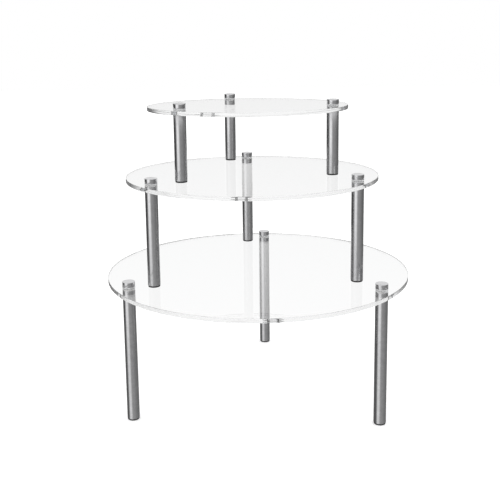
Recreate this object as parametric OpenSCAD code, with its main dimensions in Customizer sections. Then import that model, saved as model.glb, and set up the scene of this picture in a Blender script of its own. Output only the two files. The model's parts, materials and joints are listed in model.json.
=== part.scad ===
// Tiered shelf riser: three round acrylic tables on screwed steel legs, one standing on the next.
// Millimetres, +Z up, origin on the floor under the centre of the large shelf.

/* [Shelves] */
// Diameter of the large shelf
large_d = 304.8; // [304.4:0.1:320]
// Diameter of the middle shelf
middle_d = 254; // [253.6:0.1:254.4]
// Diameter of the small shelf
small_d = 203.2; // [190:0.1:203.4]
// Thickness of each acrylic shelf
shelf_t = 4; // [3:0.1:6]
// Polished chamfer on both edges of a shelf's rim
rim_chamfer = 0.3; // [0.1:0.05:0.8]
// Distance from a shelf's rim to the centre of a leg
leg_inset = 14; // [12:0.1:16]

/* [Heights] */
// Underside of the large shelf above the floor
large_h = 129.5; // [60:0.5:200]
// Underside of the middle shelf above the large one
middle_h = 95; // [50:0.5:160]
// Underside of the small shelf above the middle one
small_h = 65; // [40:0.5:120]

/* [Legs] */
// Outer diameter of a leg tube
leg_d = 12; // [10:0.1:12.2]
// Wall thickness of a leg tube
tube_wall = 1; // [0.8:0.1:1.2]
// Height of the foot that shows under the tube
foot_h = 1.5; // [1:0.1:3]
// Length of the foot's shank inside the tube
foot_shank = 7; // [4:0.5:12]

/* [Fasteners] */
// Height of a screw cap
cap_h = 5; // [4.5:0.1:9]
// Chamfer round the top of a screw cap
cap_chamfer = 0.45; // [0.2:0.05:0.8]
// Thickness of the clear washer above a shelf
washer_t = 1.2; // [0.6:0.1:2]
// Thickness of the clear washer under a shelf
under_washer_t = 0.7; // [0.5:0.1:1.5]
// Major diameter of the stud's thread
stud_d = 6; // [5:0.5:6]
// Length of stud held in the leg's insert
thread_grip = 8; // [6:0.5:10]

/* [Stacking] */
// Shift of the middle table along X on the large shelf
middle_dx = -5; // [-8.9:0.1:8.9]
// Shift of the middle table along Y on the large shelf
middle_dy = 3; // [-8.9:0.1:8.9]
// Shift of the small table along X on the middle shelf
small_dx = -3.8; // [-4.5:0.1:4.5]
// Shift of the small table along Y on the middle shelf
small_dy = 10.4; // [-11.7:0.1:11.7]
// Turn of the large table about its own centre
large_turn = -3.25; // [-20:0.25:20]
// Turn of the middle table about its own centre
middle_turn = 3.25; // [-20:0.25:20]
// Turn of the small table about its own centre
small_turn = 13.75; // [-20:0.25:20]

/* [Hidden] */
$fn = 96;
STEEL = [0.72, 0.72, 0.73];
ZINC = [0.62, 0.63, 0.65];
BRASS = [0.72, 0.6, 0.35];
RUBBER = [0.16, 0.16, 0.17];
ACRYLIC = [0.93, 0.96, 0.97, 0.4];
CLEAR = [0.9, 0.92, 0.93, 0.6];

// Gap between a pressed piece and its tube or cap, and the thread's running gap
press_gap = 0.02;
thread_gap = 0.05;
// Radial room of the holes that the stud passes through
hole_room = 0.4;
washer_room = 0.3;
// Stud length that sits inside the cap, and the cap material left above it
cap_grip = cap_h - 1.4;
insert_l = thread_grip + 3;
edge_break = 0.25;
foot_set_in = 0.3;

leg_r = leg_d / 2;
tube_r = leg_r - tube_wall;
stud_r = stud_d / 2;

// A tier is [name, shelf diameter, clear height under the shelf, x, y, z of its feet, turn]
large_top = large_h + shelf_t;
middle_top = large_top + middle_h + shelf_t;
TIERS = [
    ["large", large_d, large_h, 0, 0, 0, large_turn],
    ["middle", middle_d, middle_h, middle_dx, middle_dy, large_top, middle_turn],
    ["small", small_d, small_h, middle_dx + small_dx, middle_dy + small_dy, middle_top, small_turn],
];
// A side is [name, angle of its leg about the tier's centre]
SIDES = [["left", 210], ["right", 330], ["back", 90]];

LEG_PIECES = ["leg", "foot", "washer", "cap", "stud"];
TIER_PIECES = ["shelf", "inserts", "under_washers"];

// Places its children on the axis of one leg, with z measured from the tier's feet
module on_leg(t, s) {
    a = s[1] + t[6];
    r = t[1] / 2 - leg_inset;
    translate([t[3] + r * cos(a), t[4] + r * sin(a), t[5]])
        children();
}

// Flat ring between two radii, standing on z = 0
module ring(outer_r, inner_r, height) {
    rotate_extrude()
        translate([inner_r, 0])
            square([outer_r - inner_r, height]);
}

// Round shelf with a chamfered rim and one clearance hole for each leg
module shelf(t) {
    r = t[1] / 2;
    c = rim_chamfer;
    color(ACRYLIC)
        difference() {
            translate([t[3], t[4], t[5] + t[2]])
                rotate_extrude($fn = 360)
                    polygon([
                        [0, 0], [r - c, 0], [r, c], [r, shelf_t - c], [r - c, shelf_t], [0, shelf_t]
                    ]);
            for (s = SIDES)
                on_leg(t, s)
                    translate([0, 0, t[2] - 1])
                        cylinder(r = stud_r + hole_room, h = shelf_t + 2);
        }
}

// Leg tube with broken outer edges, from the foot up to the washer under the shelf
module leg(t, s) {
    low = foot_h;
    high = t[2] - under_washer_t;
    e = edge_break;
    color(STEEL)
        on_leg(t, s)
            rotate_extrude()
                polygon([
                    [tube_r, low], [leg_r - e, low], [leg_r, low + e],
                    [leg_r, high - e], [leg_r - e, high], [tube_r, high]
                ]);
}

// Rubber foot: a low head with a chamfered tread, and a shank pressed into the tube
module foot(t, s) {
    head_r = leg_r - foot_set_in;
    shank_r = tube_r - press_gap;
    e = edge_break * 2;
    color(RUBBER)
        on_leg(t, s)
            rotate_extrude()
                polygon([
                    [0, 0], [head_r - e, 0], [head_r, e], [head_r, foot_h],
                    [shank_r, foot_h], [shank_r, foot_h + foot_shank], [0, foot_h + foot_shank]
                ]);
}

// Threaded bushes pressed into the tubes' upper ends, drawn as plain bores
module inserts(t) {
    color(BRASS)
        for (s = SIDES)
            on_leg(t, s)
                translate([0, 0, t[2] - under_washer_t - insert_l])
                    ring(tube_r - press_gap, stud_r + thread_gap, insert_l);
}

// Thin clear washers between the tubes and the shelf's underside
module under_washers(t) {
    color(CLEAR)
        for (s = SIDES)
            on_leg(t, s)
                translate([0, 0, t[2] - under_washer_t])
                    ring(leg_r, stud_r + washer_room, under_washer_t);
}

// Clear washer between the shelf's top and the cap
module washer(t, s) {
    color(CLEAR)
        on_leg(t, s)
            translate([0, 0, t[2] + shelf_t])
                ring(leg_r, stud_r + washer_room, washer_t);
}

// Screw cap with a chamfered crown and a blind hole that holds the stud
module cap(t, s) {
    bore_r = stud_r + press_gap;
    c = cap_chamfer;
    e = edge_break;
    color(STEEL)
        on_leg(t, s)
            translate([0, 0, t[2] + shelf_t + washer_t])
                rotate_extrude()
                    polygon([
                        [bore_r, 0], [leg_r - e, 0], [leg_r, e], [leg_r, cap_h - c],
                        [leg_r - c, cap_h], [0, cap_h], [0, cap_grip], [bore_r, cap_grip]
                    ]);
}

// Threaded stud drawn at its major diameter, from inside the cap down into the insert
module stud(t, s) {
    low = t[2] - under_washer_t - thread_grip;
    high = t[2] + shelf_t + washer_t + cap_grip;
    e = edge_break * 2;
    color(ZINC)
        on_leg(t, s)
            rotate_extrude()
                polygon([[0, low], [stud_r - e, low], [stud_r, low + e], [stud_r, high], [0, high]]);
}

for (t = TIERS) {
    shelf(t);
    inserts(t);
    under_washers(t);
    for (s = SIDES) {
        leg(t, s);
        foot(t, s);
        washer(t, s);
        cap(t, s);
        stud(t, s);
    }
}
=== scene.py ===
"""Tiered shelf riser: finished pieces, their finishes and a plain studio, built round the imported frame.

Three round acrylic tables stand on one another. Each has three brushed steel legs with rubber feet, and a
screw cap over every leg. Lengths are metres, +Z is up, and the origin is on the floor under the centre of
the large shelf. Every place comes from the frame: leg axes from the cap joints, shelf centres from their
legs, and sizes from the boxes of CAD nodes.
"""

import json
import logging
import math
from dataclasses import dataclass, field
from enum import Enum
from typing import Any

import bmesh
import bpy
import numpy as np
from mathutils import Euler, Matrix, Vector
from numpy.typing import NDArray


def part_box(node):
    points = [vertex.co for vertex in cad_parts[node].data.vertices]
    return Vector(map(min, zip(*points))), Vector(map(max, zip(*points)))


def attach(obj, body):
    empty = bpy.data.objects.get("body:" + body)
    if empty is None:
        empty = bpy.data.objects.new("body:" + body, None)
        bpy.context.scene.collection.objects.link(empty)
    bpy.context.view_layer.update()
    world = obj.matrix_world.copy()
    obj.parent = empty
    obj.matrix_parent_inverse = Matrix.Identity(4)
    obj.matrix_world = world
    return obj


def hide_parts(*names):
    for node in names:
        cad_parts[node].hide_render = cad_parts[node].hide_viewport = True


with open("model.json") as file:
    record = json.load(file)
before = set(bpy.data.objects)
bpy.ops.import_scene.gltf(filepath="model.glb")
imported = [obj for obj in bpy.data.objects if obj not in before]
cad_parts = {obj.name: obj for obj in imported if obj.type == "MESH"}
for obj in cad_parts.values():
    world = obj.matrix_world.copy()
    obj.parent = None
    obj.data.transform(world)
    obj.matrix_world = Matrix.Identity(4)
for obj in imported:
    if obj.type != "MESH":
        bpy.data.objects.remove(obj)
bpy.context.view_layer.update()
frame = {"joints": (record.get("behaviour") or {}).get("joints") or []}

log = logging.getLogger("tiered_riser")
Array = NDArray[np.float64]
Colour = tuple[float, float, float]
Span = tuple[float, float]
MM = 0.001
# Gap round a piece that is pressed into another
PRESS_GAP = 0.02 * MM
# Outline points nearer than the first are one point, and points of a skin nearer than the second are merged
SAME_POINT = 1e-9
MERGED_POINTS = 1e-6
# Angle in degrees past which a thread's edges shade sharp
THREAD_CREASE = 40.0
# Light Path counts bounces in whole numbers, so a half parts none from any, and one from more
ANY_BOUNCE = 0.5
MORE_BOUNCES = 1.5


class Tier(Enum):
    """The three tables, named as in the frame."""

    LARGE = "large"
    MIDDLE = "middle"
    SMALL = "small"


class Side(Enum):
    """The three legs of a table."""

    LEFT = "left"
    RIGHT = "right"
    BACK = "back"


class Slot(Enum):
    """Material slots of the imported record."""

    ACRYLIC = "acrylic"
    WASHER = "clear_washer"
    TUBE = "brushed_tube"
    CAP = "cap_steel"
    STUD = "stud_metal"
    INSERT = "insert_metal"
    RUBBER = "foot_rubber"


# ---------------------------------------------------------------- surfaces


def unit(vectors: Array) -> Array:
    """Vectors divided by their own lengths."""
    return vectors / np.linalg.norm(vectors, axis=-1, keepdims=True)


def rounded(corners: list[tuple[float, float]], radii: list[float], steps: int = 6) -> Array:
    """An outline whose corners are turned into circular arcs.

    Each arc is tangent to both sides of its corner: its centre lies on the corner's bisector at
    radius / sin(half angle), and its points sweep evenly from one tangent point to the other.

    Args:
        corners: closed outline, anticlockwise, as (radius, height).
        radii: arc radius at each corner, 0 to keep it sharp.
        steps: points along an arc.

    Returns:
        Outline points without repeats, shape (n, 2).
    """
    corner = np.array(corners)
    radius = np.array(radii)[:, None]
    back, ahead = unit(np.roll(corner, 1, 0) - corner), unit(np.roll(corner, -1, 0) - corner)
    bisector = unit(back + ahead)
    cos_half = (back * bisector).sum(1, keepdims=True)
    sin_half = np.sqrt(1 - cos_half**2)
    centre = corner + bisector * radius / sin_half
    reach = radius * cos_half / sin_half
    start, end = corner + back * reach - centre, corner + ahead * reach - centre
    sweep = (math.pi - 2 * np.arccos(cos_half))[:, :, None]
    t = np.linspace(0, 1, steps)[None, :, None]
    arc = (np.sin((1 - t) * sweep) * start[:, None] + np.sin(t * sweep) * end[:, None]) / np.sin(sweep)
    points = (centre[:, None] + arc).reshape(-1, 2)
    fresh = np.linalg.norm(points - np.roll(points, 1, 0), axis=1) > SAME_POINT
    return points[fresh]


def ring(inner_r: float, outer_r: float, tall: float, edge: float) -> Array:
    """Closed profile of a ring on z = 0, with rounded edges of half the radius inside."""
    corners = [(inner_r, 0.0), (outer_r, 0.0), (outer_r, tall), (inner_r, tall)]
    return rounded(corners, [edge / 2, edge, edge, edge / 2])


def wall(radius: float, inside: float, heights: Span, bevel: float, steps: int) -> Array:
    """Open profile of an upright wall with a rounded edge at both ends.

    Args:
        radius: radius of the wall.
        inside: a radius inside the material, which the edges turn towards.
        heights: where the wall starts and ends.
        bevel: radius of its edges.
        steps: points along an edge.

    Returns:
        (radius, height) points, shape (n, 2).
    """
    start, end = heights
    corners = [(inside, start), (radius, start), (radius, end), (inside, end)]
    return rounded(corners, [0.0, bevel, bevel, 0.0], steps)[1:-1]


def full_turn(steps: int, start: float = 0.0) -> Array:
    """Even angles of a full turn, as a column."""
    return start + np.linspace(0, 2 * math.pi, steps, endpoint=False)[:, None]


def carried_round(radius: Array, height: Array, angle: Array) -> Array:
    """A surface round the vertical axis, whose points are (r cos angle, r sin angle, z).

    Args:
        radius: radius at each angle and each place along the surface, or along it alone.
        height: height at each of those.
        angle: column of angles.

    Returns:
        Grid of points, shape (angles, n, 3).
    """
    return np.stack(np.broadcast_arrays(radius * np.cos(angle), radius * np.sin(angle), height), -1)


def lathe(profile: Array, angle: Array) -> Array:
    """A profile of (radius, height) points carried round the vertical axis."""
    return carried_round(profile[None, :, 0], profile[None, :, 1], angle)


@dataclass(frozen=True)
class Thread:
    """A right-hand screw thread, as a radius over the angle and the height.

    The height in pitches less the angle in turns is the place across one thread: a crest, a flank, a root
    and the other flank. The widths and the depth are shares of the pitch.
    """

    major_r: float
    pitch: float = 1.0 * MM
    crest: float = 1 / 8
    flank: float = 5 / 16
    depth: float = 0.5413
    rows_a_turn: int = 12

    def radius(self, angle: Array, height: Array) -> Array:
        """Radius of the bolt's surface at each angle and height."""
        across = np.abs((height / self.pitch - angle / (2 * math.pi)) % 1.0 - 0.5) * 2
        sunk = np.clip((across - self.crest) / (2 * self.flank), 0, 1)
        return self.major_r - sunk * self.depth * self.pitch

    def heights(self, start: float, end: float) -> Array:
        """A row of heights, close enough together to show the thread."""
        rows = round(abs(end - start) / self.pitch * self.rows_a_turn) + 1
        return np.linspace(start, end, rows)[None, :]


class Skin:
    """Points and faces of one piece, gathered patch by patch and joined into a closed surface."""

    def __init__(self, name: str, turns: int = 96) -> None:
        """Starts an empty skin.

        Args:
            name: name of the finished piece.
            turns: steps round any lathe patch.
        """
        self.name = name
        self.turns = turns
        self.points: list[Array] = []
        self.local: list[Array] = []
        self.faces: list[NDArray[np.int64]] = []
        self.smooth: list[NDArray[np.bool_]] = []
        self.count = 0

    def patch(self, grid: Array, origin: Vector, wrap_u: bool, wrap_v: bool, smooth: bool = True) -> None:
        """Adds a grid of points, with a face between each four, facing along du x dv.

        Args:
            grid: points about the patch's own axis, shape (u, v, 3).
            origin: place of that axis.
            wrap_u: joins the last row to the first.
            wrap_v: joins the last column to the first.
            smooth: shades the patch smooth.
        """
        rows, columns = grid.shape[:2]
        u = np.arange(rows if wrap_u else rows - 1)[:, None]
        v = np.arange(columns if wrap_v else columns - 1)[None, :]
        u2, v2 = (u + 1) % rows, (v + 1) % columns
        quads = np.stack([u * columns + v, u2 * columns + v, u2 * columns + v2, u * columns + v2], -1)
        flat = grid.reshape(-1, 3)
        self.local.append(flat / MM)
        self.points.append(flat + np.array(origin))
        self.faces.append(quads.reshape(-1, 4) + self.count)
        self.smooth.append(np.full(quads.size // 4, smooth))
        self.count += len(flat)

    def turned(self, profile: Array, origin: Vector, closed: bool = True) -> "Skin":
        """Adds a lathe patch: a closed ring profile, or an open one that starts and ends on the axis."""
        self.patch(lathe(profile, full_turn(self.turns)), origin, wrap_u=True, wrap_v=closed)
        return self

    def finish(self, material: bpy.types.Material, crease: float | None = None) -> bpy.types.Object:
        """Makes the object: seams and poles are merged, and an attribute keeps the place for the finish.

        Args:
            material: finish of the whole piece.
            crease: angle in degrees past which an edge shades sharp, or None for none.

        Returns:
            The object, standing at the origin with its place in its mesh.
        """
        mesh = bpy.data.meshes.new(self.name)
        mesh.from_pydata(np.concatenate(self.points).tolist(), [], np.concatenate(self.faces).tolist())
        mesh.polygons.foreach_set("use_smooth", np.concatenate(self.smooth))
        local = mesh.attributes.new("local", "FLOAT_VECTOR", "POINT")
        local.data.foreach_set("vector", np.concatenate(self.local).astype(np.float32).ravel())
        joined = bmesh.new()
        joined.from_mesh(mesh)
        bmesh.ops.remove_doubles(joined, verts=joined.verts, dist=MERGED_POINTS)
        joined.to_mesh(mesh)
        joined.free()
        mesh.materials.append(material)
        if crease is not None:
            mesh.set_sharp_from_angle(angle=math.radians(crease))
        mesh.update()
        piece = bpy.data.objects.new(self.name, mesh)
        bpy.context.scene.collection.objects.link(piece)
        return piece


# ---------------------------------------------------------------- shader sums


class Wire:
    """A shader value that can be used in sums. Each operator adds one Math node."""

    def __init__(self, graph: "Graph", socket: bpy.types.NodeSocket) -> None:
        """Wraps an output socket of a graph."""
        self.graph = graph
        self.socket = socket

    def maths(self, operation: str, *others: "Wire | float", first: bool = True) -> "Wire":
        """Adds a Math node on this value and others.

        Args:
            operation: the node's operation.
            others: further inputs.
            first: whether this value is the first input, or the second.

        Returns:
            The node's value.
        """
        order = [self, *others] if first else [*others, self]
        return self.graph.add("ShaderNodeMath", {"operation": operation}, dict(enumerate(order))).out()

    def __add__(self, other: "Wire | float") -> "Wire":
        """Sum."""
        return self.maths("ADD", other)

    __radd__ = __add__

    def __sub__(self, other: "Wire | float") -> "Wire":
        """Difference."""
        return self.maths("SUBTRACT", other)

    def __rsub__(self, other: float) -> "Wire":
        """Difference from a number."""
        return self.maths("SUBTRACT", other, first=False)

    def __mul__(self, other: "Wire | float") -> "Wire":
        """Product."""
        return self.maths("MULTIPLY", other)

    __rmul__ = __mul__

    def __truediv__(self, other: "Wire | float") -> "Wire":
        """Quotient."""
        return self.maths("DIVIDE", other)

    def __rtruediv__(self, other: float) -> "Wire":
        """Quotient of a number."""
        return self.maths("DIVIDE", other, first=False)

    def __pow__(self, other: "Wire | float") -> "Wire":
        """Power."""
        return self.maths("POWER", other)

    def __neg__(self) -> "Wire":
        """The value with its sign turned."""
        return self.maths("MULTIPLY", -1.0)

    def __gt__(self, other: "Wire | float") -> "Wire":
        """1 where this value is the greater, else 0."""
        return self.maths("GREATER_THAN", other)

    def __lt__(self, other: "Wire | float") -> "Wire":
        """1 where this value is the lesser, else 0."""
        return self.maths("LESS_THAN", other)

    def most(self, other: "Wire | float") -> "Wire":
        """The greater of two values."""
        return self.maths("MAXIMUM", other)

    def eased(self, low: float, high: float) -> "Wire":
        """0 below low, 1 above high, and a smooth step between."""
        settings = {"interpolation_type": "SMOOTHSTEP"}
        inputs = {"Value": self, "From Min": low, "From Max": high}
        return self.graph.add("ShaderNodeMapRange", settings, inputs).out()

    def between(self, low: "Wire | float", high: "Wire | float") -> "Wire":
        """Low where this value is 0 and high where it is 1."""
        return self * (high - low) + low


class Made:
    """A node just added, with its outputs as wires."""

    def __init__(self, graph: "Graph", node: bpy.types.Node) -> None:
        """Wraps a node of a graph."""
        self.graph = graph
        self.node = node

    def out(self, key: int | str = 0) -> Wire:
        """One output of the node."""
        return Wire(self.graph, self.node.outputs[key])


@dataclass(frozen=True)
class Grain:
    """A noise pattern: how fine it is, how many octaves it adds and how strong those are."""

    scale: float
    detail: float = 2.0
    roughness: float = 0.5


class Graph:
    """A node tree that is written as code."""

    def __init__(self, tree: bpy.types.NodeTree) -> None:
        """Empties the tree and takes it over."""
        tree.nodes.clear()
        self.tree = tree

    def add(self, kind: str, settings: dict[str, Any] | None = None,
            inputs: dict[int | str, Any] | None = None) -> Made:
        """Adds a node of any kind.

        Args:
            kind: the node's type.
            settings: its properties, set first; "stops" gives a ramp's (place, grey) pairs.
            inputs: values or wires for its sockets.

        Returns:
            The node.
        """
        node = self.tree.nodes.new(kind)
        for key, value in (settings or {}).items():
            if key == "stops":
                self._ramp(node.color_ramp, value)
            else:
                setattr(node, key, value)
        for key, value in (inputs or {}).items():
            self._feed(node.inputs[key], value)
        return Made(self, node)

    def _feed(self, socket: bpy.types.NodeSocket, value: Any) -> None:
        """Links a wire to a socket, or sets the socket to a value."""
        if isinstance(value, Wire):
            self.tree.links.new(value.socket, socket)
        else:
            socket.default_value = value

    @staticmethod
    def _ramp(ramp: bpy.types.ColorRamp, stops: list[tuple[float, float]]) -> None:
        """Sets a grey ramp's stops."""
        while len(ramp.elements) < len(stops):
            ramp.elements.new(1.0)
        for element, (place, grey) in zip(ramp.elements, stops):
            element.position = place
            element.color = (grey, grey, grey, 1.0)

    def split(self, vector: Wire) -> tuple[Wire, Wire, Wire]:
        """The three numbers of a vector."""
        made = self.add("ShaderNodeSeparateXYZ", inputs={0: vector})
        return made.out(0), made.out(1), made.out(2)

    def place(self) -> Wire:
        """Place on the piece about its own axis, in millimetres, from the mesh's local attribute."""
        return self.add("ShaderNodeAttribute", {"attribute_name": "local"}).out("Vector")

    def stretched(self, vector: Wire, scale: tuple[float, float, float]) -> Wire:
        """A vector multiplied along each axis."""
        return self.add("ShaderNodeVectorMath", {"operation": "MULTIPLY"}, {0: vector, 1: scale}).out()

    def noise(self, vector: Wire, grain: Grain) -> Wire:
        """Smooth noise about 0.5."""
        inputs = {
            "Vector": vector,
            "Scale": grain.scale,
            "Detail": grain.detail,
            "Roughness": grain.roughness,
        }
        return self.add("ShaderNodeTexNoise", inputs=inputs).out(0)

    def tint(self, share: Wire, low: Wire | Colour, high: Colour) -> Wire:
        """A colour between two, by a share.

        Args:
            share: 0 for the low colour and 1 for the high one.
            low: a colour, or the wire of one.
            high: the other colour.

        Returns:
            The mixed colour.
        """
        inputs = {"Factor": share, "A": low if isinstance(low, Wire) else (*low, 1.0), "B": (*high, 1.0)}
        made = self.add("ShaderNodeMix", {"data_type": "RGBA"})
        for socket in made.node.inputs:
            if socket.enabled and socket.name in inputs:
                self._feed(socket, inputs[socket.name])
        return next(Wire(self, socket) for socket in made.node.outputs if socket.enabled)

    def bump(self, height: Wire, distance: float) -> Wire:
        """A normal from a height, in metres of distance."""
        inputs = {"Height": height, "Distance": distance, "Strength": 1.0}
        return self.add("ShaderNodeBump", inputs=inputs).out()

    def principled(self, inputs: dict[str, Any]) -> Wire:
        """A Principled shader."""
        return self.add("ShaderNodeBsdfPrincipled", inputs=inputs).out()

    def painted_glow_in_mirrors(self, colour: Wire, share: float, white: float = 0.9) -> dict[str, Any]:
        """Colours of a piece that shows in full directly, and where a shelf mirrors it only by a share,
        with a painted white glow for the rest.

        Args:
            colour: the piece's own colour.
            share: how much of it is left in a mirror image.
            white: level of the painted white glow, set to the sweep's, which takes the place of the rest.

        Returns:
            The Principled shader's inputs for it.
        """
        if share == 1:
            return {"Base Color": colour}
        # Painted glow: once a ray has been mirrored, the colour fades to black and an emitted white of the
        # sweep's level stands in for it
        painted_glow_share = (self.add("ShaderNodeLightPath").out("Glossy Depth") > ANY_BOUNCE) * (1 - share)
        return {
            "Base Color": self.tint(painted_glow_share, colour, (0.0, 0.0, 0.0)),
            "Emission Color": painted_glow_share * white,
            "Emission Strength": 1.0,
        }

    def surface(self, shader: Wire) -> None:
        """Sends a shader to the material's or the world's surface."""
        of_world = isinstance(self.tree.id_data, bpy.types.World)
        kind = "ShaderNodeOutputWorld" if of_world else "ShaderNodeOutputMaterial"
        self.add(kind, inputs={"Surface": shader})


def new_material(name: str) -> tuple[bpy.types.Material, Graph]:
    """An empty node material and its graph. Its glow, such as the painted glow of a piece in mirror images,
    isn't sampled as a lamp, because it is faint.
    """
    material = bpy.data.materials.new(name)
    material.use_nodes = True
    material.cycles.emission_sampling = "NONE"
    return material, Graph(material.node_tree)


# ---------------------------------------------------------------- finishes


@dataclass(frozen=True)
class ClearPlastic:
    """Clear cast plastic that light passes through: acrylic sheet, or a softer washer."""

    name: str
    colour: Colour
    ior: float
    polish: float
    haze: float
    shade: float
    clearness: float = 1.0
    wear: Grain = Grain(0.06, 4.0, 0.6)
    wear_span: Span = (0.35, 0.75)

    def build(self) -> bpy.types.Material:
        """Refracting plastic with faint wear in its polish, which lets shadow rays through."""
        material, graph = new_material(self.name)
        wear = graph.noise(graph.place(), self.wear).eased(*self.wear_span)
        inputs = {
            "Base Color": (*self.colour, 1.0),
            "Roughness": wear.between(self.polish, self.haze),
            "IOR": self.ior,
            "Transmission Weight": self.clearness,
        }
        plastic = graph.principled(inputs)
        shade = (self.shade, self.shade, self.shade, 1.0)
        clear = graph.add("ShaderNodeBsdfTransparent", inputs={"Color": shade}).out()
        shadow = graph.add("ShaderNodeLightPath").out("Is Shadow Ray")
        graph.surface(graph.add("ShaderNodeMixShader", inputs={0: shadow, 1: plastic, 2: clear}).out())
        return material


@dataclass(frozen=True)
class GroundSteel:
    """Stainless steel with a fine ground finish, whose marks run round the piece or round its crown."""

    name: str
    dark: Colour
    light: Colour
    smooth: float
    dull: float
    mark_depth: float
    crown: bool
    # Share of the colour kept where a shelf mirrors the piece; a painted white glow stands in for the rest
    mirrored: float = 1.0
    marks: Grain = Grain(9.0, 3.0, 0.7)
    cloud: Grain = Grain(0.18, 3.0, 0.55)
    share_of_marks: float = 0.55
    share_span: Span = (0.3, 0.7)
    crown_drift: float = 0.02
    ring_drift: float = 0.05

    def build(self) -> bpy.types.Material:
        """Metal whose colour, polish and fine relief follow rings of grinding marks.

        The marks are noise over the height, or on a crown over the height plus the radius. A slight drift
        keeps a ring from being the same all round.

        Returns:
            The finish.
        """
        material, graph = new_material(self.name)
        place = graph.place()
        if self.crown:
            x, y, z = graph.split(place)
            reach = (x * x + y * y) ** 0.5
            drift = {0: x * self.crown_drift, 1: y * self.crown_drift}
            rings = graph.add("ShaderNodeCombineXYZ", inputs={**drift, 2: reach + z}).out()
        else:
            rings = graph.stretched(place, (self.ring_drift, self.ring_drift, 1.0))
        marks = graph.noise(rings, self.marks)
        cloud = graph.noise(place, self.cloud)
        share = (marks * self.share_of_marks + cloud * (1 - self.share_of_marks)).eased(*self.share_span)
        colour = graph.tint(share, self.dark, self.light)
        inputs = {
            # Where a shelf mirrors the piece, part of its colour gives way to a painted white glow
            **graph.painted_glow_in_mirrors(colour, self.mirrored),
            "Metallic": 1.0,
            "Roughness": share.between(self.dull, self.smooth),
            "Normal": graph.bump(marks, self.mark_depth),
        }
        graph.surface(graph.principled(inputs))
        return material


@dataclass(frozen=True)
class PlainMetal:
    """Bright machined metal for the pieces inside the legs: plated studs and brass bushes."""

    name: str
    dark: Colour
    light: Colour
    smooth: float
    dull: float
    # Share of the colour kept where a shelf mirrors the piece; a painted white glow stands in for the rest
    mirrored: float = 0.15
    tarnish: Grain = Grain(0.9, 4.0, 0.6)
    tarnish_span: Span = (0.3, 0.7)
    grain: Grain = Grain(14.0)
    grain_depth: float = 0.004 * MM

    def build(self) -> bpy.types.Material:
        """Metal with a fine grain and slight tarnish."""
        material, graph = new_material(self.name)
        place = graph.place()
        tarnish = graph.noise(place, self.tarnish)
        grain = graph.noise(place, self.grain)
        colour = graph.tint(tarnish.eased(*self.tarnish_span), self.dark, self.light)
        inputs = {
            # Where a shelf mirrors the piece, most of its colour gives way to a painted white glow
            **graph.painted_glow_in_mirrors(colour, self.mirrored),
            "Metallic": 1.0,
            "Roughness": tarnish.between(self.dull, self.smooth),
            "Normal": graph.bump(grain, self.grain_depth),
        }
        graph.surface(graph.principled(inputs))
        return material


@dataclass(frozen=True)
class FootRubber:
    """Dark moulded rubber of the feet, a little scuffed at the tread."""

    name: str = "foot_rubber"
    dark: Colour = (0.018, 0.018, 0.019)
    worn: Colour = (0.05, 0.05, 0.052)
    smooth: float = 0.62
    dull: float = 0.85
    shine: float = 0.4
    # Share of the colour kept where a shelf mirrors the piece; a painted white glow stands in for the rest
    mirrored: float = 0.15
    scuff: Grain = Grain(1.4, 4.0, 0.65)
    scuff_span: Span = (0.2, 0.7)
    scuff_millimetres: Span = (0.2, 1.2)
    grain: Grain = Grain(6.0, 3.0, 0.6)
    grain_depth: float = 0.02 * MM

    def build(self) -> bpy.types.Material:
        """Matt rubber with a fine moulded grain, paler where the tread wears."""
        material, graph = new_material(self.name)
        place = graph.place()
        height = graph.split(place)[2]
        near_floor = 1 - height.eased(*self.scuff_millimetres)
        wear = (graph.noise(place, self.scuff) * near_floor).eased(*self.scuff_span)
        grain = graph.noise(place, self.grain)
        inputs = {
            # Where a shelf mirrors the foot, most of its colour gives way to a painted white glow
            **graph.painted_glow_in_mirrors(graph.tint(wear, self.dark, self.worn), self.mirrored),
            "Roughness": grain.between(self.smooth, self.dull),
            "Specular IOR Level": self.shine,
            "Normal": graph.bump(grain, self.grain_depth),
        }
        graph.surface(graph.principled(inputs))
        return material


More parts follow.
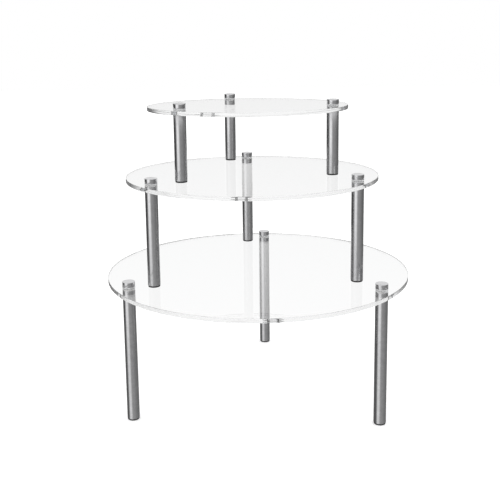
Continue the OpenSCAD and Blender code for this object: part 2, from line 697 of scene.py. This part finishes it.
class Finishes:
    """The finish of every material slot, each built once."""

    def __init__(self) -> None:
        """Builds the finishes."""
        acrylic = ClearPlastic(
            "acrylic_sheet", (0.994, 0.996, 0.997), ior=1.49, polish=0.0, haze=0.02, shade=0.98
        )
        washer = ClearPlastic(
            "washer_plastic", (0.9, 0.905, 0.91), ior=1.45, polish=0.08, haze=0.2, shade=0.8, clearness=0.3
        )
        tube = GroundSteel(
            "ground_tube",
            dark=(0.56, 0.56, 0.57),
            light=(0.68, 0.68, 0.69),
            smooth=0.13,
            dull=0.2,
            mark_depth=0.003 * MM,
            crown=False,
            # A fifth of the tube's colour shows in mirror images; a painted white glow makes up the rest
            mirrored=0.2,
        )
        cap = GroundSteel(
            "turned_cap",
            dark=(0.6, 0.6, 0.61),
            light=(0.74, 0.74, 0.75),
            smooth=0.06,
            dull=0.12,
            mark_depth=0.002 * MM,
            crown=True,
        )
        stud = PlainMetal("zinc_stud", (0.5, 0.51, 0.53), (0.66, 0.67, 0.69), smooth=0.24, dull=0.42)
        bush = PlainMetal("brass_bush", (0.5, 0.36, 0.16), (0.74, 0.58, 0.3), smooth=0.26, dull=0.44)
        self.of: dict[Slot, bpy.types.Material] = {
            Slot.ACRYLIC: acrylic.build(),
            Slot.WASHER: washer.build(),
            Slot.TUBE: tube.build(),
            Slot.CAP: cap.build(),
            Slot.STUD: stud.build(),
            Slot.INSERT: bush.build(),
            Slot.RUBBER: FootRubber().build(),
        }

    def dress(self, piece: bpy.types.Object, slot: Slot, body: str, *nodes: str) -> None:
        """Puts a piece on its body, in place of its CAD nodes, and reports it.

        Args:
            piece: the finished piece.
            slot: its material slot in the record; not used.
            body: the body that it rides on.
            nodes: CAD nodes that it stands for.
        """
        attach(piece, body)
        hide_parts(*nodes)
        log.info("%s rides on %s, %d faces", piece.name, body, len(piece.data.polygons))


# ---------------------------------------------------------------- the frame's places


def joint_named(name: str) -> dict[str, Any]:
    """The frame's joint of that name."""
    return next(j for j in frame["joints"] if j["name"] == name)


def leg_axis(tier: Tier, side: Side) -> Vector:
    """Foot of a leg's axis at z = 0, from its cap's hinge."""
    x, y, _ = joint_named(f"{tier.value}_cap_{side.value}_turn")["pos_m"]
    return Vector((x, y, 0.0))


def span(node: str) -> Span:
    """Lowest and highest z of a CAD node."""
    low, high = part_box(node)
    return low.z, high.z


def radius_of(node: str) -> float:
    """Outer radius of a round CAD node."""
    low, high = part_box(node)
    return max(high.x - low.x, high.y - low.y) / 2


# ---------------------------------------------------------------- sub-assemblies


@dataclass
class Shelf:
    """A round acrylic shelf with a polished rim and three screw holes."""

    tier: Tier
    bevel: float = 0.35 * MM
    hole_r: float = 3.4 * MM
    hole_bevel: float = 0.15 * MM
    arc_steps: int = 240
    line_steps: int = 24
    bevel_steps: int = 7
    hole_bevel_steps: int = 4
    centre: Vector = field(init=False)
    outer_r: float = field(init=False)
    low: float = field(init=False)
    high: float = field(init=False)

    def __post_init__(self) -> None:
        """Reads the shelf's place and size from the frame."""
        node = f"{self.tier.value}_shelf"
        self.centre = sum((leg_axis(self.tier, side) for side in Side), Vector()) / len(Side)
        self.outer_r = radius_of(node)
        self.low, self.high = span(node)

    def _wedge(self, hole: Vector) -> tuple[Array, Array]:
        """The third of the shelf's face round one hole.

        The wedge's edge runs out along one side, round the rim and back along the other side to the centre.
        All of it can be seen from the hole, so each point of the edge has its own point on the hole's rim.

        Args:
            hole: centre of the hole about the shelf's centre.

        Returns:
            Edge points and unit directions from the hole to them, each (n, 2).
        """
        middle = math.atan2(hole.y, hole.x)
        face_r = self.outer_r - self.bevel
        turn = middle + np.linspace(-math.pi / 3, math.pi / 3, self.arc_steps + 1)
        reach = np.linspace(0, face_r, self.line_steps, endpoint=False)[:, None]
        start, end = turn[0], turn[-1]
        out = reach * np.array([[math.cos(start), math.sin(start)]])
        rim = face_r * np.stack([np.cos(turn), np.sin(turn)], -1)
        home = reach[:0:-1] * np.array([[math.cos(end), math.sin(end)]])
        edge = np.concatenate([out, rim, home])
        return edge, unit(edge - np.array([hole.x, hole.y]))

    def _hole_patches(self, skin: Skin, hole: Vector) -> None:
        """Adds the top and bottom wedges round one hole, and the hole's wall with its rounded edges.

        Args:
            skin: the shelf's skin.
            hole: centre of the hole about the shelf's centre.
        """
        edge, away = self._wedge(hole)
        eye = np.array([hole.x, hole.y])
        lip = eye + away * (self.hole_r + self.hole_bevel)
        for height, facing_up in ((self.high, True), (self.low, False)):
            ends = [lip, edge] if facing_up else [edge, lip]
            grid = np.stack([np.c_[loop, np.full(len(loop), height)] for loop in ends])
            skin.patch(grid, self.centre, wrap_u=False, wrap_v=True, smooth=False)
        heights = (self.high, self.low)
        bore = wall(self.hole_r, 2 * self.hole_r, heights, self.hole_bevel, self.hole_bevel_steps)
        loops = eye + away[:, None] * bore[None, :, :1]
        grid = np.concatenate([loops, np.broadcast_to(bore[None, :, 1:], (len(away), len(bore), 1))], -1)
        skin.patch(grid, self.centre, wrap_u=True, wrap_v=False)

    def build(self, finishes: Finishes) -> None:
        """Makes the shelf: three wedges of flat face round the holes, and a rim with rounded edges.

        The rim has the wedges' own angles, so that they join point to point.

        Args:
            finishes: the finish of each slot.
        """
        node = f"{self.tier.value}_shelf"
        skin = Skin(node)
        holes = [leg_axis(self.tier, side) - self.centre for side in Side]
        for hole in holes:
            self._hole_patches(skin, hole)
        start = math.atan2(holes[0].y, holes[0].x) + math.pi / 3
        heights = (self.low, self.high)
        section = wall(self.outer_r, self.outer_r / 2, heights, self.bevel, self.bevel_steps)
        rim = lathe(section, full_turn(3 * self.arc_steps, start))
        skin.patch(rim, self.centre, wrap_u=True, wrap_v=False)
        piece = skin.finish(finishes.of[Slot.ACRYLIC])
        finishes.dress(piece, Slot.ACRYLIC, f"{self.tier.value}_riser", node)


@dataclass
class Leg:
    """One leg of a table: tube, foot, clear washer, cap and stud."""

    tier: Tier
    side: Side
    tube_wall: float = 1.0 * MM
    tube_edge: float = 0.3 * MM
    foot_edge: float = 0.5 * MM
    foot_step_edge: float = 0.1 * MM
    cap_edge: float = 0.5 * MM
    cap_lip: float = 0.1 * MM
    cap_bore_edge: float = 0.05 * MM
    washer_edge: float = 0.3 * MM
    washer_hole_r: float = 3.3 * MM
    stud_taper: float = 0.6 * MM
    stud_turns: int = 48
    axis: Vector = field(init=False)
    outer_r: float = field(init=False)
    bore_r: float = field(init=False)

    def __post_init__(self) -> None:
        """Reads the leg's axis and radius from the frame."""
        self.axis = leg_axis(self.tier, self.side)
        self.outer_r = radius_of(self.node("leg"))
        self.bore_r = self.outer_r - self.tube_wall

    def node(self, piece: str) -> str:
        """Name of one of the leg's CAD nodes."""
        return f"{self.tier.value}_{piece}_{self.side.value}"

    def body(self, piece: str) -> str:
        """Name of the moving body of the washer or the cap."""
        return f"{self.tier.value}_{piece}_{self.side.value}_body"

    def base(self, height: float) -> Vector:
        """A point on the leg's axis."""
        return Vector((self.axis.x, self.axis.y, height))

    def build_tube(self, finishes: Finishes) -> None:
        """Makes the tube: a ring profile with softly broken edges, turned round the leg's axis.

        Args:
            finishes: the finish of each slot.
        """
        low, high = span(self.node("leg"))
        profile = ring(self.bore_r, self.outer_r, high - low, self.tube_edge)
        piece = Skin(self.node("leg")).turned(profile, self.base(low)).finish(finishes.of[Slot.TUBE])
        finishes.dress(piece, Slot.TUBE, f"{self.tier.value}_riser", self.node("leg"))

    def build_foot(self, finishes: Finishes) -> None:
        """Makes the foot: a low head with a rounded tread, and a shank with a rounded end inside the tube.

        Args:
            finishes: the finish of each slot.
        """
        low, high = span(self.node("foot"))
        step = span(self.node("leg"))[0] - low
        tall = high - low
        head_r = radius_of(self.node("foot"))
        shank_r = self.bore_r - PRESS_GAP
        profile = rounded(
            [(0.0, 0.0), (head_r, 0.0), (head_r, step), (shank_r, step), (shank_r, tall), (0.0, tall)],
            [0.0, self.foot_edge, self.foot_step_edge, self.foot_step_edge, self.foot_edge, 0.0],
        )
        profile[[0, -1], 0] = 0.0
        skin = Skin(self.node("foot")).turned(profile, self.base(low), closed=False)
        piece = skin.finish(finishes.of[Slot.RUBBER])
        finishes.dress(piece, Slot.RUBBER, f"{self.tier.value}_riser", self.node("foot"))

    def build_washer(self, finishes: Finishes) -> None:
        """Makes the clear washer under the cap: a ring with softly rounded edges.

        Args:
            finishes: the finish of each slot.
        """
        low, high = span(self.node("washer"))
        profile = ring(self.washer_hole_r, self.outer_r, high - low, self.washer_edge)
        piece = Skin(self.node("washer")).turned(profile, self.base(low)).finish(finishes.of[Slot.WASHER])
        finishes.dress(piece, Slot.WASHER, self.body("washer"), self.node("washer"))

    def build_cap(self, finishes: Finishes) -> None:
        """Makes the screw cap: a flat crown with a rounded edge, and a blind bore for the stud.

        The closed outline is opened at the crown's centre, so it runs from the bore's end round to there.

        Args:
            finishes: the finish of each slot.
        """
        low, high = span(self.node("cap"))
        tall = high - low
        bore_r = radius_of(self.node("stud")) + PRESS_GAP
        bore_top = span(self.node("stud"))[1] - low
        profile = rounded(
            [
                (bore_r, 0.0),
                (self.outer_r, 0.0),
                (self.outer_r, tall),
                (0.0, tall),
                (0.0, bore_top),
                (bore_r, bore_top),
            ],
            [self.cap_lip, self.cap_edge / 2, self.cap_edge, 0.0, 0.0, self.cap_bore_edge],
        )
        crown = int(np.argmin(profile[:, 0] + np.abs(profile[:, 1] - tall)))
        profile = np.roll(profile, -crown - 1, axis=0)
        skin = Skin(self.node("cap")).turned(profile, self.base(low), closed=False)
        piece = skin.finish(finishes.of[Slot.CAP])
        finishes.dress(piece, Slot.CAP, self.body("cap"), self.node("cap"))

    def build_stud(self, finishes: Finishes) -> None:
        """Makes the stud: a screw surface whose radius follows the thread, tapered at both ends and closed.

        Args:
            finishes: the finish of each slot.
        """
        low, high = span(self.node("stud"))
        thread = Thread(radius_of(self.node("stud")))
        height = thread.heights(low, high)
        angle = full_turn(self.stud_turns)
        from_end = np.minimum(height - low, high - height)
        radius = np.minimum(thread.radius(angle, height), thread.major_r - self.stud_taper + from_end)
        tips = np.zeros((self.stud_turns, 1))
        radius = np.concatenate([tips, radius, tips], 1)
        level = np.concatenate([[[low]], height, [[high]]], 1) - low
        skin = Skin(self.node("stud"))
        skin.patch(carried_round(radius, level, angle), self.base(low), wrap_u=True, wrap_v=False)
        piece = skin.finish(finishes.of[Slot.STUD], crease=THREAD_CREASE)
        finishes.dress(piece, Slot.STUD, self.body("cap"), self.node("stud"))


@dataclass
class Riser:
    """One table: a shelf, three legs, and the bushes and washers that its legs share a node for."""

    tier: Tier
    knurls: int = 36
    knurl_depth: float = 0.12 * MM
    bush_taper: float = 0.3 * MM
    bush_turns: int = 144
    thread_room: float = 0.05 * MM
    under_washer_edge: float = 0.2 * MM
    legs: list[Leg] = field(init=False)

    def __post_init__(self) -> None:
        """Reads the table's legs from the frame."""
        self.legs = [Leg(self.tier, side) for side in Side]

    def build(self, finishes: Finishes) -> None:
        """Makes every piece of the table.

        Args:
            finishes: the finish of each slot.
        """
        Shelf(self.tier).build(finishes)
        for leg in self.legs:
            leg.build_tube(finishes)
            leg.build_foot(finishes)
            leg.build_washer(finishes)
            leg.build_cap(finishes)
            leg.build_stud(finishes)
        self._build_bushes(finishes)
        self._build_under_washers(finishes)

    def _build_bushes(self, finishes: Finishes) -> None:
        """Makes the three bushes: a knurled outside, and a bore that is the stud's thread with room.

        The outside is r - depth * |sin(knurls * angle / 2)|, and the bore follows the stud's own radius.

        Args:
            finishes: the finish of each slot.
        """
        node = f"{self.tier.value}_inserts"
        skin = Skin(node)
        low, high = span(node)
        taper = self.bush_taper
        angle = full_turn(self.bush_turns)
        for leg in self.legs:
            thread = Thread(radius_of(leg.node("stud")))
            down = thread.heights(high, low)
            bore = thread.radius(angle, down) + self.thread_room
            knurl = leg.bore_r - PRESS_GAP - self.knurl_depth * np.abs(np.sin(self.knurls * angle / 2))
            outside = np.concatenate([knurl - taper, knurl, knurl, knurl - taper], 1)
            up = np.array([[low, low + taper, high - taper, high]])
            radius = np.concatenate([outside, bore], 1)
            level = np.concatenate([up, down], 1) - low
            skin.patch(carried_round(radius, level, angle), leg.base(low), wrap_u=True, wrap_v=True)
        piece = skin.finish(finishes.of[Slot.INSERT], crease=THREAD_CREASE)
        finishes.dress(piece, Slot.INSERT, f"{self.tier.value}_riser", node)

    def _build_under_washers(self, finishes: Finishes) -> None:
        """Makes the three thin washers between the tubes and the shelf's underside.

        Args:
            finishes: the finish of each slot.
        """
        node = f"{self.tier.value}_under_washers"
        low, high = span(node)
        skin = Skin(node)
        for leg in self.legs:
            profile = ring(leg.washer_hole_r, leg.outer_r, high - low, self.under_washer_edge)
            skin.turned(profile, leg.base(low))
        piece = skin.finish(finishes.of[Slot.WASHER])
        finishes.dress(piece, Slot.WASHER, f"{self.tier.value}_riser", node)


# ---------------------------------------------------------------- studio


@dataclass
class Studio:
    """A white sweep, soft light from all round with a brighter panel at the left, and the camera.

    Heights in the surrounding light are sines of the angle above or below the level.
    """

    floor_size: float = 12.0
    floor_white: float = 0.9
    floor_mottle: float = 0.01
    floor_glow: float = 0.3
    floor_grain: Grain = Grain(3.0)
    sweep_light: float = 1.2
    dome_low: float = 0.858
    dome_high: float = 0.93
    fade: Span = (0.05, 0.4)
    horizon: Span = (0.015, 0.055)
    level_gain: float = 0.4
    level_contrast: float = 0.5
    sensor: float = 36.0
    camera_place: tuple[float, float, float] = (0.0, -0.7719, 0.3582)
    pitch: float = 9.362
    yaw: float = 0.52
    roll: float = -0.68
    lens: float = 55.57
    shift_up: float = -0.15
    bounces: int = 64
    # Brightness of the room round the object, as (degrees clockwise from the camera's side, level)
    room: tuple[Span, ...] = (
        (-180, 0.2), (-130, 0.15), (-90, 0.12), (-70, 0.4), (-56, 0.95), (-24, 0.9), (-8, 0.5),
        (6, 0.4), (40, 0.36), (70, 0.28), (110, 0.22), (180, 0.2),
    )
    # The same for light that has bounced more than once: white behind, and darker on both sides of that
    depth: tuple[Span, ...] = (
        (-180, 0.98), (-132, 0.94), (-118, 0.25), (-92, 0.12), (-72, 0.45), (-58, 0.9), (-34, 0.9),
        (-16, 0.5), (0, 0.4), (40, 0.3), (70, 0.2), (110, 0.12), (122, 0.25), (136, 0.94), (180, 0.98),
    )

    def build_floor(self) -> None:
        """Makes the pale floor, which reflections and light through the shelves look past."""
        corners = np.array([[-1, -1, 0], [1, -1, 0], [1, 1, 0], [-1, 1, 0]]) * self.floor_size / 2
        mesh = bpy.data.meshes.new("floor")
        mesh.from_pydata(corners.tolist(), [], [(0, 1, 2, 3)])
        material, graph = new_material("floor_white")
        tone = graph.noise(graph.add("ShaderNodeTexCoord").out("Object"), self.floor_grain)
        low, high = (self.floor_white - self.floor_mottle,) * 3, (self.floor_white,) * 3
        inputs = {
            "Base Color": graph.tint(tone, low, high),
            "Roughness": 0.9,
            "Specular IOR Level": 0.0,
            "Emission Color": (1.0, 1.0, 1.0, 1.0),
            "Emission Strength": self.floor_glow,
        }
        graph.surface(graph.principled(inputs))
        mesh.materials.append(material)
        floor = bpy.data.objects.new("floor", mesh)
        bpy.context.scene.collection.objects.link(floor)
        floor.visible_glossy = False
        floor.visible_transmission = False
        log.info("floor laid")

    def build_light(self) -> None:
        """Makes the surrounding light.

        The sweep is plain white where it is seen directly or straight through a shelf. A first reflection
        that looks up sees a soft dome, a little brighter higher up. One that looks down sees the room,
        which goes round the object by a ramp and has more contrast near the level. Light that has bounced
        more often sees the depth of the room, which goes round by a ramp of its own.
        """
        world = bpy.data.worlds.new("studio")
        world.use_nodes = True
        bpy.context.scene.world = world
        graph = Graph(world.node_tree)
        x, y, z = graph.split(graph.add("ShaderNodeTexCoord").out("Generated"))
        around = x.maths("ARCTAN2", -y) / (2 * math.pi) + 0.5
        path = graph.add("ShaderNodeLightPath")
        bounced = path.out("Glossy Depth")
        dome = z.eased(*self.fade).between(self.dome_low, self.dome_high)
        level_share = 1 - (-z).eased(*self.fade)
        room = self._ramp(graph, around, self.room) ** (level_share * self.level_contrast + 1)
        first = z.eased(*self.horizon).between(room * (level_share * self.level_gain + 1), dome)
        seen = (bounced > MORE_BOUNCES).between(first, self._ramp(graph, around, self.depth))
        straight = path.out("Is Camera Ray").most(path.out("Is Transmission Ray") * (bounced < ANY_BOUNCE))
        seen = straight.between(seen, 1.0)
        level = path.out("Is Diffuse Ray").between(seen, self.sweep_light)
        graph.surface(graph.add("ShaderNodeBackground", inputs={"Color": level, "Strength": 1.0}).out())
        log.info("light set")

    @staticmethod
    def _ramp(graph: Graph, around: Wire, levels: tuple[Span, ...]) -> Wire:
        """The level of the room at each angle round the object."""
        stops = [(degrees / 360 + 0.5, level) for degrees, level in levels]
        return graph.add("ShaderNodeValToRGB", {"stops": stops}, {0: around}).out()

    def build_camera(self) -> None:
        """Makes the camera, which looks along +Y and a little down, with its frame shifted down."""
        data = bpy.data.cameras.new("camera")
        data.sensor_width = self.sensor
        data.lens = self.lens
        data.shift_y = self.shift_up
        camera = bpy.data.objects.new("camera", data)
        tilt = Euler((math.radians(90 - self.pitch), 0.0, math.radians(self.yaw))).to_matrix().to_4x4()
        spin = Matrix.Rotation(math.radians(self.roll), 4, "Z")
        camera.matrix_world = Matrix.Translation(Vector(self.camera_place)) @ tilt @ spin
        bpy.context.scene.collection.objects.link(camera)
        bpy.context.scene.camera = camera
        bpy.context.scene.view_settings.view_transform = "Standard"
        log.info("camera set")

    def let_light_travel(self) -> None:
        """Lets light that is held inside a shelf turn back and forth until it reaches the far rim."""
        cycles = bpy.context.scene.cycles
        cycles.max_bounces = self.bounces
        cycles.glossy_bounces = self.bounces
        cycles.transmission_bounces = self.bounces


def main() -> None:
    """Builds the studio, then every table from the floor up, and reports each piece."""
    logging.basicConfig(level=logging.INFO, format="%(message)s")
    studio = Studio()
    studio.build_camera()
    studio.let_light_travel()
    studio.build_floor()
    studio.build_light()
    finishes = Finishes()
    for tier in Tier:
        Riser(tier).build(finishes)


if __name__ == "__main__":
    main()
